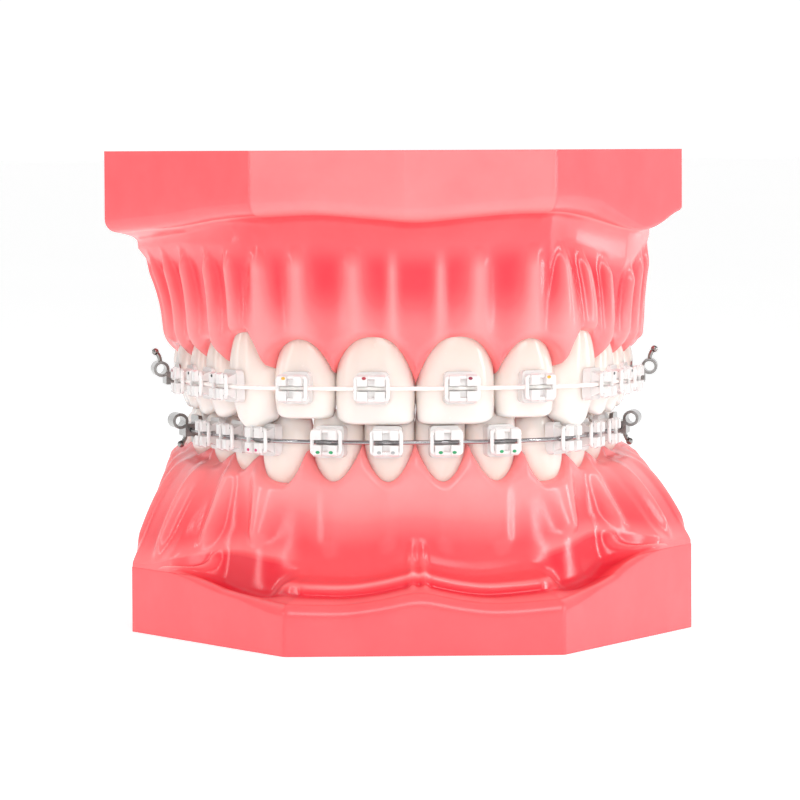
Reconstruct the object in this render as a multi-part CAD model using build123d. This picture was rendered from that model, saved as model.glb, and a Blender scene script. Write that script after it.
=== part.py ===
"""Orthodontic demonstration model: two trimmed jaw casts in bite, with teeth, clear brackets and arch wires.

Frame: origin under the middle of the whole model, +Z up, teeth facing -Y, +X to the viewer's right.
All sizes are in millimetres.
"""

import math
import os

from build123d import *

# Trimmed bases of the two casts, each set a little to one side of the tooth midline
BASE_DEPTH = 57.0
LOWER_HALF_WIDTH = 31.6
UPPER_HALF_WIDTH = 32.5
HEEL_DEPTH = 26.0
HEEL_INSET = 5.0
LOWER_FRONT_HALF_WIDTH = 15.0
UPPER_FRONT_HALF_WIDTH = 16.4
UPPER_FRONT_POINT = 3.4
LOWER_BASE_HEIGHT = 6.0
UPPER_BASE_HEIGHT = 6.8
LOWER_RIM_RISE = 5.0
UPPER_RIM_RISE = 4.5
LOWER_BASE_SHIFT = 0.5
UPPER_BASE_SHIFT = -1.4
MODEL_HEIGHT = 54.0
BASE_EDGE_RADIUS = 1.4
LIP_WIDTH = 5.8

# Contact lines of the two arches: tangent arcs from the midline to the back, as radius and turn in degrees
UPPER_ARCS = ((32.0, 23.5), (7.0, 43.0), (75.0, 32.0))
LOWER_ARCS = ((24.0, 23.0), (8.0, 41.5), (85.0, 30.0))
LOWER_SETBACK = 1.9

# Each tooth from the midline back: name, width, reach to face and to tongue, gum margin, biting edge
UPPER_TEETH = (
    ("central_incisor", 8.5, 3.1, 3.7, 33.6, 24.4),
    ("lateral_incisor", 6.8, 2.9, 3.3, 33.2, 25.1),
    ("canine", 6.9, 3.2, 4.2, 34.0, 23.9),
    ("first_premolar", 6.8, 3.5, 5.2, 33.0, 25.0),
    ("second_premolar", 6.6, 3.5, 5.2, 32.6, 25.0),
    ("first_molar", 9.6, 3.8, 6.4, 32.2, 25.0),
    ("second_molar", 9.0, 3.7, 6.2, 31.8, 25.1),
)
LOWER_TEETH = (
    ("central_incisor", 5.4, 2.8, 3.0, 18.1, 25.2),
    ("lateral_incisor", 5.6, 2.8, 3.1, 18.1, 25.2),
    ("canine", 6.7, 3.2, 3.8, 17.8, 24.9),
    ("first_premolar", 6.9, 3.4, 4.2, 18.8, 24.6),
    ("second_premolar", 7.0, 3.5, 4.6, 19.2, 24.6),
    ("first_molar", 10.6, 3.8, 5.9, 19.6, 24.6),
    ("second_molar", 10.0, 3.7, 5.7, 20.0, 24.7),
)
TOOTH_GAP = 0.2
ROOT_LENGTH = 4.5
SOCKET_CLEARANCE = 0.06

# Gums: papilla crest, and how far the wall stands off the tooth faces at each level
UPPER_CREST = 29.2
LOWER_CREST = 21.8
GUM_MARGIN_COVER = 0.25
ROOT_BULGE = 0.7
VESTIBULE_FLARE = 1.6
UPPER_SHELF = 3.0
LOWER_SHELF = 5.8
CREST_SETBACK = 1.7
LINGUAL_WALL = 1.3
TONGUE_FLOOR = 6.8
PALATE_ROOF = 44.0
FRENUM_HEIGHT = 5.0
FRENUM_REACH = 2.6
FRENUM_THICKNESS = 0.9

# Arch wires and the line that every bracket slot lies on
WIRE_OFFSET = 4.5
UPPER_WIRE_HEIGHT = 28.4
LOWER_WIRE_HEIGHT = 22.5
WIRE_DIAMETER = 0.46
WIRE_END = 1.2

# Brackets
SLOT_HEIGHT = 0.56
SLOT_CLEARANCE = 0.12
PAD_HEIGHT = 3.5
PAD_MARGIN = 0.25
PAD_CORNER = 0.5
BODY_HALF_HEIGHT = 0.95
WING_HALF_HEIGHT = 1.52
WING_THICKNESS = 0.42
WING_CHANNEL = 0.8
BRACKET_EDGE = 0.12
UPPER_BRACKET_WIDTHS = (3.0, 2.7, 2.9, 2.8, 2.8)
LOWER_BRACKET_WIDTHS = (2.7, 2.7, 2.8, 2.8, 2.8)
BOND_GAP = 0.03

# Elastic rings that tie the wire into the slots
RING_DIAMETER = 0.44
RING_CORNER = 0.3
RING_CLEARANCE = 0.03

# Molar tubes
TUBE_LENGTH = 4.0
TUBE_WALL = 0.45
TUBE_PAD_HEIGHT = 3.2
AUXILIARY_BORE = 1.15
AUXILIARY_WALL = 0.32
AUXILIARY_LENGTH = 3.4
HOOK_DIAMETER = 0.5
HOOK_REACH = 1.2
HOOK_BALL = 0.8

HALF_DEPTH = BASE_DEPTH / 2
TOOTH_MIDLINE = (UPPER_HALF_WIDTH - UPPER_BASE_SHIFT - LOWER_HALF_WIDTH - LOWER_BASE_SHIFT) / 2
LOWER_MIDDLE = TOOTH_MIDLINE + LOWER_BASE_SHIFT
UPPER_MIDDLE = TOOTH_MIDLINE + UPPER_BASE_SHIFT
WIRE_RADIUS = WIRE_DIAMETER / 2
RING_RADIUS = RING_DIAMETER / 2
FRONT_CONTACT = -HALF_DEPTH + LIP_WIDTH + UPPER_TEETH[0][2]


class Arch:
    """One dental arch: its contact line in plan, as tangent arcs, and the order of its teeth."""

    def __init__(self, name, arcs, front, teeth, up):
        self.name = name
        self.arcs = arcs
        self.front = front
        self.teeth = teeth
        self.up = up

    def lengths(self):
        return [radius * math.radians(turn) for radius, turn in self.arcs]

    def at(self, along, offset=0.0):
        """Point in plan and outward normal at a signed length along the contact line, moved out by offset."""
        side = math.copysign(1.0, along)
        left = abs(along)
        x, y, heading = 0.0, self.front, 0.0
        for radius, turn in self.arcs:
            span = min(left, radius * math.radians(turn))
            after = heading + span / radius
            x += radius * (math.sin(after) - math.sin(heading))
            y += radius * (math.cos(heading) - math.cos(after))
            heading = after
            left -= span
        x += left * math.cos(heading)
        y += left * math.sin(heading)
        normal = Vector(side * math.sin(heading), -math.cos(heading), 0)
        return Vector(TOOTH_MIDLINE + side * x, y, 0) + normal * offset, normal

    def places(self):
        """Each tooth's data with the place of its middle along the half arch."""
        along = 0.0
        for tooth in self.teeth:
            yield tooth, along + tooth[1] / 2
            along += tooth[1]

    def reach(self):
        return sum(tooth[1] for tooth in self.teeth)

    def frame(self, along, height, offset=0.0, crown=None):
        """Plane on the arch: x along the arch, y outward, z up, or along the crown when that is given."""
        point, normal = self.at(along, offset)
        z_dir = Vector(0, 0, 1 if crown is None else crown)
        return Plane(origin=point + Vector(0, 0, height), x_dir=normal.cross(z_dir), z_dir=z_dir)


UPPER = Arch("upper", UPPER_ARCS, FRONT_CONTACT, UPPER_TEETH, -1)
LOWER = Arch("lower", LOWER_ARCS, FRONT_CONTACT + LOWER_SETBACK, LOWER_TEETH, 1)
SIDES = (("right", -1), ("left", 1))


# Teeth

OVAL_STEPS = 12


def oval(width, face, tongue, squareness):
    """Closed outline of a tooth's section: a rounded form that may be deeper on one side."""
    points = []
    for step in range(OVAL_STEPS):
        angle = math.tau * step / OVAL_STEPS
        across, out = math.cos(angle), math.sin(angle)
        depth = face if out > 0 else tongue
        points.append((
            math.copysign(abs(across) ** (2 / squareness), across) * width / 2,
            math.copysign(abs(out) ** (2 / squareness), out) * depth,
        ))
    even = [step / OVAL_STEPS for step in range(OVAL_STEPS + 1)]
    return make_face(Edge.make_spline(points, periodic=True, parameters=even))


# Sections from the root to the biting edge: height, width, face and tongue reach as shares, squareness
INCISOR_SECTIONS = (
    (0.00, 0.72, 0.90, 0.92, 2.2),
    (0.28, 0.88, 1.00, 0.85, 2.3),
    (0.60, 0.99, 0.96, 0.36, 2.6),
    (0.90, 0.98, 0.80, -0.12, 3.2),
    (1.00, 0.90, 0.62, -0.24, 3.4),
)
CANINE_SECTIONS = (
    (0.00, 0.74, 0.90, 0.92, 2.1),
    (0.30, 0.92, 1.00, 0.88, 2.2),
    (0.60, 1.00, 0.95, 0.55, 2.2),
    (0.84, 0.74, 0.78, 0.18, 2.1),
    (1.00, 0.22, 0.52, -0.16, 2.0),
)
CHEEK_TOOTH_SECTIONS = (
    (0.00, 0.78, 0.86, 0.86, 2.4),
    (0.35, 0.96, 1.00, 0.98, 2.6),
    (0.65, 1.00, 0.96, 1.00, 2.7),
    (0.90, 0.93, 0.80, 0.86, 2.7),
    (1.00, 0.78, 0.62, 0.68, 2.6),
)
ROOT_END_SHARE = 0.52
ROOT_MIDDLE_SHARE = 0.66
CUSP_DEPTH = 0.24
CROSS_SHARE = 0.8
MOLARS = ("first_molar", "second_molar")


def tooth(data, grow=0.0):
    """A tooth in its own frame: x along the arch, y to the face, z to the biting edge, margin at z = 0.

    A tooth that is grown on every side by a clearance is the shape of its socket or of its bracket's seat.
    """
    name, width, face, tongue, margin, edge = data
    height = abs(edge - margin)
    body = width - TOOTH_GAP
    if name.endswith("incisor"):
        sections = INCISOR_SECTIONS
    elif name == "canine":
        sections = CANINE_SECTIONS
    else:
        sections = CHEEK_TOOTH_SECTIONS
    roots = [(-depth / height, share, share, share, 2.0) for depth, share in (
        (ROOT_LENGTH + grow, ROOT_END_SHARE),
        (ROOT_LENGTH / 2, ROOT_MIDDLE_SHARE),
    )]
    rings = []
    for level, w, f, t, n in (*roots, *sections):
        outline = oval(body * w + 2 * grow, face * f + grow, tongue * t + grow, n)
        rings.append(Pos(0, 0, level * height) * outline)
    solid = loft(rings)
    if grow:
        return solid
    if sections is CHEEK_TOOTH_SECTIONS:
        solid -= fissures(name, width, face, tongue, height)
    return solid


def fissures(name, width, face, tongue, height):
    """Grooves that part the cusps of a premolar or a molar."""
    depth = height * CUSP_DEPTH
    middle = (face - tongue) / 2
    flank = (face + tongue) / 4
    top = height + TOOTH_GAP
    lengthways = Polyline((middle - flank, top), (middle, height - depth), (middle + flank, top), close=True)
    groove = extrude(Plane.YZ * make_face(lengthways), width, both=True)
    if name in MOLARS:
        wedge = Polyline((-width / 4, top), (0, height - depth * CROSS_SHARE), (width / 4, top), close=True)
        groove += extrude(Plane.XZ * make_face(wedge), face + tongue, both=True)
    return groove


def place_teeth(arch, grow=0.0):
    """Every tooth of an arch in its place, by side and name."""
    placed = {}
    for data, along in arch.places():
        shape = tooth(data, grow)
        for side, sign in SIDES:
            plane = arch.frame(sign * along, data[4], crown=arch.up)
            placed[side, data[0]] = plane.location * shape
    return placed


# Jaw casts

def trimmed(front, half_width, middle):
    """Closed outline of a base about its middle: its front points, then the heel and the back, mirrored."""
    half = [
        *front,
        (half_width, HALF_DEPTH - HEEL_DEPTH),
        (half_width - HEEL_INSET, HALF_DEPTH),
    ]
    whole = half + [(-x, y) for x, y in reversed(half) if x > 0]
    return [(middle + x, y) for x, y in whole]


LOWER_OUTLINE = trimmed([(LOWER_FRONT_HALF_WIDTH, -HALF_DEPTH)], LOWER_HALF_WIDTH, LOWER_MIDDLE)
UPPER_FRONT = [(0, -HALF_DEPTH), (UPPER_FRONT_HALF_WIDTH, -HALF_DEPTH + UPPER_FRONT_POINT)]
UPPER_OUTLINE = trimmed(UPPER_FRONT, UPPER_HALF_WIDTH, UPPER_MIDDLE)


def room(outline, point, normal):
    """Distance from a point to the base's outline along a direction in plan."""
    nearest = math.inf
    for (ax, ay), (bx, by) in zip(outline, outline[1:] + outline[:1]):
        ex, ey = bx - ax, by - ay
        cross = normal.X * ey - normal.Y * ex
        if abs(cross) < 1e-9:
            continue
        distance = ((ax - point.X) * ey - (ay - point.Y) * ex) / cross
        share = ((ax - point.X) * normal.Y - (ay - point.Y) * normal.X) / cross
        if distance > 0 and 0 <= share <= 1:
            nearest = min(nearest, distance)
    return nearest


def wall_stations(arch):
    """Places along the half arch for a gum wall: each tooth's middle and each gap, with the face's reach."""
    stations = []
    along = 0.0
    teeth = arch.teeth
    for index, data in enumerate(teeth):
        inner = teeth[max(index - 1, 0)]
        stations.append((along, (inner[2] + data[2]) / 2, 0.0))
        stations.append((along + data[1] / 2, data[2], 1.0))
        along += data[1]
    stations.append((along, teeth[-1][2], 0.0))
    return stations


def gum_section(arch, outline, height, stand_off, bulge, shelf, inset=0.0):
    """Filled plan of the gum at one height: its facial wall, closed straight across behind the casts.

    The shelf is what the wall stands out further beside the back teeth.
    The inset is what it keeps inside the base.
    """
    halves = {side: [] for side, sign in SIDES}
    for along, face, middle in wall_stations(arch):
        offset = face + stand_off + bulge * (2 * middle - 1) + shelf * (along / arch.reach()) ** 2
        for side, sign in SIDES:
            point, normal = arch.at(sign * along)
            moved = point + normal * min(offset, room(outline, point, normal) - inset)
            halves[side].append((moved.X, moved.Y))
    behind = HALF_DEPTH + LIP_WIDTH
    for half in halves.values():
        half.append((half[-1][0], behind))
    facial = Spline(*reversed(halves["right"][1:]), *halves["left"])
    back = Line(facial @ 1, facial @ 0)
    return Pos(0, 0, height) * make_face([facial, back])


def tongue_section(arch, height, inset):
    """Filled plan of the hollow inside an arch, open at the back."""
    half = []
    for data, along in arch.places():
        point, normal = arch.at(along)
        moved = point - normal * (data[3] + inset)
        half.append((moved.X, moved.Y))
    behind = HALF_DEPTH + 2 * LIP_WIDTH
    half.append((half[-1][0], behind))
    half = [half[0]] + half[2:]
    wall = [(2 * TOOTH_MIDLINE - x, y) for x, y in reversed(half)] + half
    inner = Spline(*wall, tangents=[(0, -1), (0, 1)])
    back = Line(inner @ 1, inner @ 0)
    return Pos(0, 0, height) * make_face([inner, back])


def heel_trim(half_width, middle, low, high):
    """Block that the gum wall is cut to behind, just inside the base's heels and back."""
    side = half_width - BASE_EDGE_RADIUS
    back = HALF_DEPTH - BASE_EDGE_RADIUS
    heel = HALF_DEPTH - HEEL_DEPTH
    half = [(side, -BASE_DEPTH), (side, heel), (side - HEEL_INSET, back)]
    plan = half + [(-x, y) for x, y in reversed(half)]
    return Pos(middle, 0, low) * extrude(make_face(Polyline(*plan, close=True)), high - low)


# Gum wall from the base to the crest: share of the rise, stand-off, root ridges, shelf
WALL_LEVELS = (
    (0.14, VESTIBULE_FLARE, ROOT_BULGE * 0.3, 0.9),
    (0.40, GUM_MARGIN_COVER * 3.5, ROOT_BULGE, 0.65),
    (0.74, GUM_MARGIN_COVER * 3, ROOT_BULGE, 0.4),
    (1.00, GUM_MARGIN_COVER, ROOT_BULGE * 0.6, 0.25),
)


def gum_wall(arch, outline, half_width, middle, base_level, crest, shelf):
    """Solid gum from inside the base to the crest of the papillae, before it is hollowed."""
    up = arch.up
    rise = abs(arch.teeth[0][4] - base_level)
    root = base_level - up * BASE_EDGE_RADIUS
    sections = [gum_section(arch, outline, root, VESTIBULE_FLARE * 2, 0, shelf, BASE_EDGE_RADIUS)]
    for share, stand_off, bulge, out in WALL_LEVELS:
        level = base_level + up * rise * share
        inset = BASE_EDGE_RADIUS * (1 - share)
        sections.append(gum_section(arch, outline, level, stand_off, bulge, shelf * out, inset))
    sections.append(gum_section(arch, outline, crest, -CREST_SETBACK, 0, 0))
    low, high = sorted((root, crest))
    return loft(sections) & heel_trim(half_width, middle, low, high)


def base_block(arch, outline, face, height, rise):
    """Trimmed base on its flat face, with a rounded rim that rises from the front to the back."""
    low, high = sorted((face, face + arch.up * (height + rise)))
    block = Pos(0, 0, low) * extrude(make_face(Polyline(*outline, close=True)), high - low)
    ahead = face + arch.up * (height - rise / 2)
    behind = face + arch.up * (height + 1.5 * rise)
    over = Polyline((-BASE_DEPTH, ahead), (BASE_DEPTH, behind), (-BASE_DEPTH, behind), close=True)
    block -= extrude(Plane.YZ * make_face(over), BASE_DEPTH, both=True)
    rim = block.faces().sort_by(Axis.Z)[-1 if arch.up > 0 else 0]
    return fillet(rim.edges(), BASE_EDGE_RADIUS)


def frenum():
    """Thin fold of the lower lip, from the gum wall to the base, on the midline."""
    wall = LOWER.front - LOWER_TEETH[0][2]
    fold = Polyline(
        (wall + 1, LOWER_BASE_HEIGHT - 1),
        (wall + 1, LOWER_BASE_HEIGHT + FRENUM_HEIGHT),
        (wall - 1, LOWER_BASE_HEIGHT + FRENUM_HEIGHT),
        (wall - 1 - FRENUM_REACH, LOWER_BASE_HEIGHT - 1),
        close=True,
    )
    return Pos(TOOTH_MIDLINE, 0, 0) * extrude(Plane.YZ * make_face(fold), FRENUM_THICKNESS / 2, both=True)


def lower_cast():
    hollow = loft([
        tongue_section(LOWER, TONGUE_FLOOR, LINGUAL_WALL * 2.6),
        tongue_section(LOWER, (TONGUE_FLOOR + LOWER_CREST) / 2, LINGUAL_WALL * 1.8),
        tongue_section(LOWER, LOWER_CREST + 1, LINGUAL_WALL * 0.8),
    ])
    plan = (LOWER_OUTLINE, LOWER_HALF_WIDTH, LOWER_MIDDLE)
    wall = gum_wall(LOWER, *plan, LOWER_BASE_HEIGHT, LOWER_CREST, LOWER_SHELF)
    base = base_block(LOWER, LOWER_OUTLINE, 0, LOWER_BASE_HEIGHT, LOWER_RIM_RISE)
    gum = base + wall + frenum() - hollow
    return gum - list(place_teeth(LOWER, SOCKET_CLEARANCE).values())


def upper_cast():
    hollow = loft([
        tongue_section(UPPER, UPPER_CREST - 1, LINGUAL_WALL * 0.8),
        tongue_section(UPPER, (UPPER_CREST + PALATE_ROOF) / 2, LINGUAL_WALL * 2.2),
        tongue_section(UPPER, PALATE_ROOF, LINGUAL_WALL * 5.0),
    ])
    under = MODEL_HEIGHT - UPPER_BASE_HEIGHT
    plan = (UPPER_OUTLINE, UPPER_HALF_WIDTH, UPPER_MIDDLE)
    wall = gum_wall(UPPER, *plan, under, UPPER_CREST, UPPER_SHELF)
    base = base_block(UPPER, UPPER_OUTLINE, MODEL_HEIGHT, UPPER_BASE_HEIGHT, UPPER_RIM_RISE)
    gum = base + wall - hollow
    return gum - list(place_teeth(UPPER, SOCKET_CLEARANCE).values())


# Wires, brackets, rings and tubes, each in the slot's frame: x along the wire, y outward, z up

def arch_wire(arch, height):
    """A round wire along the slot line, from the back of one molar tube to the other."""
    ends = sum(data[1] for data in arch.teeth[:6]) - arch.teeth[5][1] / 2 + TUBE_LENGTH / 2 + WIRE_END
    marks = [0.0]
    for length in arch.lengths():
        marks.append(min(marks[-1] + length, ends))
    signed = [-mark for mark in reversed(marks[1:])] + marks
    spans = []
    for start, end in zip(signed, signed[1:]):
        three = [arch.at(along, WIRE_OFFSET)[0] for along in (start, (start + end) / 2, end)]
        spans.append(Pos(0, 0, height) * ThreePointArc(*three))
    path = Wire(spans)
    return sweep(Plane(path @ 0, z_dir=path % 0) * Circle(WIRE_RADIUS), path=path)


def slot_depth():
    return WIRE_RADIUS + SLOT_CLEARANCE


def ring_plane():
    """How far out of the slot line the middle of an elastic ring lies: just in front of the wire."""
    return WIRE_RADIUS + RING_RADIUS + RING_CLEARANCE


def pad(width, height, inward, outward):
    face = RectangleRounded(width, height, PAD_CORNER)
    return extrude(Plane.XZ.offset(-outward) * face, inward + outward)


def bracket(width, inward):
    """A clear twin bracket: pad, body with tie-wing undercuts, wire slot and channel between the wings."""
    neck_low = ring_plane() - RING_RADIUS - RING_CLEARANCE
    neck_high = ring_plane() + RING_RADIUS + RING_CLEARANCE
    front = neck_high + WING_THICKNESS
    foot = -slot_depth() - 2 * WING_THICKNESS
    half = [
        (foot, WING_HALF_HEIGHT),
        (neck_low, BODY_HALF_HEIGHT),
        (neck_high, BODY_HALF_HEIGHT),
        (neck_high, WING_HALF_HEIGHT),
        (front, WING_HALF_HEIGHT - WING_THICKNESS / 2),
    ]
    profile = Polyline(*half, *[(y, -z) for y, z in reversed(half)], close=True)
    body = extrude(Plane.YZ * make_face(profile), width / 2, both=True)
    body = fillet(body.edges().filter_by(Axis.X).group_by(Axis.Y)[-1], BRACKET_EDGE)
    slot_back = -slot_depth()
    slot = Pos(0, (slot_back + front) / 2 + BRACKET_EDGE, 0) * Box(
        2 * width, front - slot_back + 2 * BRACKET_EDGE, SLOT_HEIGHT)
    channel = Pos(0, (neck_low + front) / 2 + BRACKET_EDGE, 0) * Box(
        WING_CHANNEL, front - neck_low + 2 * BRACKET_EDGE, 3 * WING_HALF_HEIGHT)
    base = pad(width + 2 * PAD_MARGIN, PAD_HEIGHT, inward, foot + WING_THICKNESS)
    return base + (body - slot - channel)


def elastic_ring(width):
    """A round-section ring stretched about the bracket's neck, in front of the wire."""
    off = RING_RADIUS + RING_CLEARANCE
    half_x = width / 2 + off
    half_z = BODY_HALF_HEIGHT + off
    outline = Plane.XZ.offset(-ring_plane()) * RectangleRounded(2 * half_x, 2 * half_z, RING_CORNER)
    path = outline.faces()[0].outer_wire()
    return sweep(Plane(path @ 0, z_dir=path % 0) * Circle(RING_RADIUS), path=path)


def molar_tube(inward, gum_side):
    """A steel molar tube: pad, wire tube, round auxiliary tube and a ball hook towards the gum."""
    bore = SLOT_HEIGHT / 2
    main_height = SLOT_HEIGHT + 2 * TUBE_WALL
    front = bore + TUBE_WALL
    main = Pos(0, (front - inward) / 2, 0) * Box(TUBE_LENGTH, front + inward, main_height)
    base = pad(TUBE_LENGTH + 2 * PAD_MARGIN, TUBE_PAD_HEIGHT, inward, -bore - TUBE_WALL)
    outer = AUXILIARY_BORE / 2 + AUXILIARY_WALL
    aux_at = (0, front + outer * 0.55, main_height / 2 + outer * 0.3)
    auxiliary = Pos(*aux_at) * Rot(0, 90, 0) * Cylinder(outer, AUXILIARY_LENGTH)
    body = base + main + auxiliary
    body -= Rot(0, 90, 0) * Cylinder(bore, 2 * TUBE_LENGTH)
    body -= Pos(*aux_at) * Rot(0, 90, 0) * Cylinder(AUXILIARY_BORE / 2, 2 * TUBE_LENGTH)
    start_y = aux_at[1] if gum_side > 0 else front / 2
    start_z = aux_at[2] + outer * 0.8 if gum_side > 0 else -main_height / 2 + HOOK_DIAMETER / 2
    start = Vector(0, start_y, start_z)
    end = start + Vector(0, HOOK_REACH * 0.45, gum_side * HOOK_REACH)
    bend = Vector(0, start.Y, (start.Z + end.Z) / 2)
    leave = Vector(0, HOOK_REACH * 0.6, gum_side * HOOK_REACH * 0.5)
    path = Spline(start, end, tangents=[bend - start, leave])
    hook = sweep(Plane(path @ 0, z_dir=path % 0) * Circle(HOOK_DIAMETER / 2), path=path)
    ball = Pos(*end) * Sphere(HOOK_BALL / 2)
    return body + hook + ball


def appliance(arch, height, widths):
    """Brackets on five teeth of each side, tubes on the first molars, and the rings of the arch."""
    brackets, tubes, rings = {}, {}, []
    seats = place_teeth(arch, BOND_GAP)
    for index, (data, along) in enumerate(arch.places()):
        name, width, face = data[:3]
        inward = WIRE_OFFSET - face + WIRE_DIAMETER
        for side, sign in SIDES:
            seat = seats[side, name]
            place = arch.frame(sign * along, height, WIRE_OFFSET).location
            if index < len(widths):
                brackets[side, name] = (place * bracket(widths[index], inward)) - seat
                rings.append(place * elastic_ring(widths[index]))
            elif name == "first_molar":
                tubes[side] = (place * molar_tube(inward, -arch.up)) - seat
    return brackets, tubes, rings


def write(shape, node):
    solids = shape.solids()
    whole = solids[0] if len(solids) == 1 else Compound(children=solids)
    export_step(whole, os.path.join("parts", node + ".step"))


def main():
    os.makedirs("parts", exist_ok=True)
    jaws = (
        (UPPER, upper_cast, UPPER_WIRE_HEIGHT, UPPER_BRACKET_WIDTHS),
        (LOWER, lower_cast, LOWER_WIRE_HEIGHT, LOWER_BRACKET_WIDTHS),
    )
    for arch, make_cast, wire_height, widths in jaws:
        for (side, name), shape in place_teeth(arch).items():
            write(shape, f"{arch.name}_{side}_{name}")
        write(make_cast(), f"{arch.name}_gum_base")
        write(arch_wire(arch, wire_height), f"{arch.name}_archwire")
        brackets, tubes, rings = appliance(arch, wire_height, widths)
        for (side, name), shape in brackets.items():
            write(shape, f"bracket_{arch.name}_{side}_{name}")
        for side, shape in tubes.items():
            write(shape, f"molar_tube_{arch.name}_{side}")
        write(Compound(children=rings), f"{arch.name}_ligatures")


main()
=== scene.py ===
"""Looks of an orthodontic demonstration model: gums, teeth, clear brackets, wires and steel molar tubes."""

import math
from collections import namedtuple

import bmesh
import bpy
import numpy as np
from mathutils import Matrix, Vector


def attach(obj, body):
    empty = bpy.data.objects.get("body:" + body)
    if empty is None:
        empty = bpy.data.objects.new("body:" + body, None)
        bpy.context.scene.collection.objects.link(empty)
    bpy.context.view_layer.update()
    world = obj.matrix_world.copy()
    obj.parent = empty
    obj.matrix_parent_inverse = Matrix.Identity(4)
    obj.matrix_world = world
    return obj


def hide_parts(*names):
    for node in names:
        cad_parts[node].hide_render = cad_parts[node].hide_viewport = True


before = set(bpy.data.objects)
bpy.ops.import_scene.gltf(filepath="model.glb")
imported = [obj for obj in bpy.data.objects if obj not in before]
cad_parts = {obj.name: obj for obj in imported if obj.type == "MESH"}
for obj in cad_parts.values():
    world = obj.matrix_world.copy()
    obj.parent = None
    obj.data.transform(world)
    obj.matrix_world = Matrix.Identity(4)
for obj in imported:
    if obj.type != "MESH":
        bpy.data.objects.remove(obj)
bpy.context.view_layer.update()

# Sizes in millimetres
MM = 0.001
MODEL_HEIGHT = 54.0
HALF_DEPTH = 28.5
FRONT_CONTACT = -19.6
OVERJET = 1.9
TOOTH_MIDLINE = 0.9
WIDEST_PLACE = 2.5
BACK_TAPER = 5.0
CORNER_RADIUS = 0.7

# Tolerances
TINY = 1e-9
SLACK = 1e-6

# Teeth from the midline back: reach to face and tongue, gum margin and biting edge above the base
Tooth = namedtuple("Tooth", "name width face tongue margin edge")
UPPER_TEETH = (
    Tooth("central_incisor", 8.5, 3.1, 3.7, 20.1, 29.6),
    Tooth("lateral_incisor", 6.8, 2.9, 3.3, 20.4, 29.0),
    Tooth("canine", 6.9, 3.2, 4.2, 19.7, 30.5),
    Tooth("first_premolar", 6.8, 3.5, 5.2, 21.0, 29.0),
    Tooth("second_premolar", 6.6, 3.5, 5.2, 21.4, 29.0),
    Tooth("first_molar", 9.6, 3.8, 6.4, 21.8, 29.0),
    Tooth("second_molar", 9.0, 3.7, 6.2, 22.2, 28.9),
)
LOWER_TEETH = (
    Tooth("central_incisor", 5.4, 2.8, 3.0, 18.1, 25.9),
    Tooth("lateral_incisor", 5.6, 2.8, 3.1, 18.1, 25.9),
    Tooth("canine", 6.7, 3.2, 3.8, 17.8, 25.4),
    Tooth("first_premolar", 6.9, 3.4, 4.2, 18.8, 24.6),
    Tooth("second_premolar", 7.0, 3.5, 4.6, 19.2, 24.6),
    Tooth("first_molar", 10.6, 3.8, 5.9, 19.6, 24.6),
    Tooth("second_molar", 10.0, 3.7, 5.7, 20.0, 24.7),
)

# Each half arch from the midline back, as arcs with a radius and a turn in degrees
UPPER_ARCS = ((32.0, 23.5), (7.0, 43.0), (75.0, 32.0))
LOWER_ARCS = ((24.0, 23.0), (8.0, 41.5), (85.0, 30.0))


def smooth(x, low, high):
    """0 below low, 1 above high, and a smooth step between."""
    t = np.clip((x - low) / (high - low), 0.0, 1.0)
    return t * t * (3 - 2 * t)


def bell(x, middle, width):
    """1 at the middle, falling to both sides over a width."""
    return np.exp(-(((x - middle) / width) ** 2))


def rounded(points, radius, steps=8):
    """An open chain of points in plan with its inner corners rounded."""
    chain = [np.array(points[0], float)]
    for before, corner, after in zip(points, points[1:], points[2:]):
        a, b, c = (np.array(p, float) for p in (before, corner, after))
        back = (a - b) / np.linalg.norm(a - b)
        onward = (c - b) / np.linalg.norm(c - b)
        half = math.acos(np.clip(back @ onward, -1, 1)) / 2
        cut = radius / math.tan(half)
        start = b + back * cut
        end = b + onward * cut
        for k in range(steps + 1):
            t = k / steps
            chain.append((1 - t) ** 2 * start + 2 * t * (1 - t) * b + t * t * end)
    chain.append(np.array(points[-1], float))
    return np.array(chain)


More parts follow.
